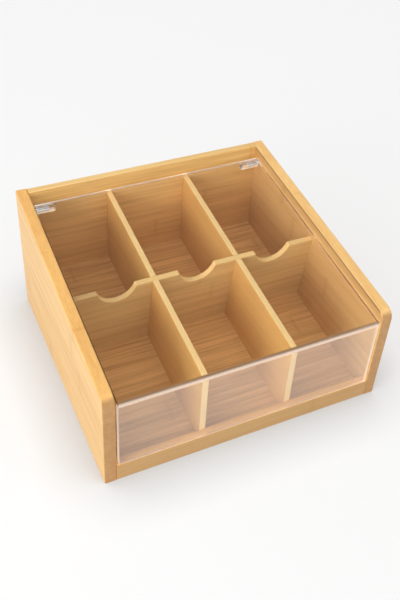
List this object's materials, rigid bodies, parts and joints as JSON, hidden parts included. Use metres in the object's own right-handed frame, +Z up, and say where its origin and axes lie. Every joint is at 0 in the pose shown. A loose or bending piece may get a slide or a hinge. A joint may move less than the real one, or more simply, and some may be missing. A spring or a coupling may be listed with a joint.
{
  "type": "tea bag box",
  "caption": "Bamboo tea bag box with a tilted floor, lapped dividers with finger notches and a clear hinged lid whose front drops over a low rail.",
  "frame": {"origin": "middle of the box's footprint, on the surface that it stands on", "axes": "+X to the right along the width, -Y towards the front with the low rail, +Z up"},
  "size_m": [0.24, 0.22, 0.124],
  "materials": {
    "case_bamboo": "satin, fine straight grain",
    "liner_bamboo": "satin, fine horizontal grain",
    "divider_bamboo": "satin, smooth",
    "dowel_wood": "plain",
    "clear_lid": "clear acrylic, polished edges",
    "pin_steel": "bright"
  },
  "bodies": {
    "case": {"left_side_panel": "case_bamboo", "right_side_panel": "case_bamboo", "back_panel": "liner_bamboo", "front_rail": "case_bamboo", "floor_panel": "liner_bamboo", "left_divider": "divider_bamboo", "right_divider": "divider_bamboo", "cross_divider": "liner_bamboo", "left_back_dowels": "dowel_wood", "right_back_dowels": "dowel_wood", "left_rail_dowel": "dowel_wood", "right_rail_dowel": "dowel_wood", "left_hinge_pin": "pin_steel", "right_hinge_pin": "pin_steel"},
    "lid": {"lid_top_sheet": "clear_lid", "lid_front_panel": "clear_lid", "left_hinge_block": "clear_lid", "right_hinge_block": "clear_lid"}
  },
  "joints": [
    {"name": "lid_hinge", "type": "hinge", "parent": "case", "child": "lid", "pos_m": [0, 0.09483, 0.10807], "axis": [-1, 0, 0], "range_deg": [0, 103]}
  ]
}
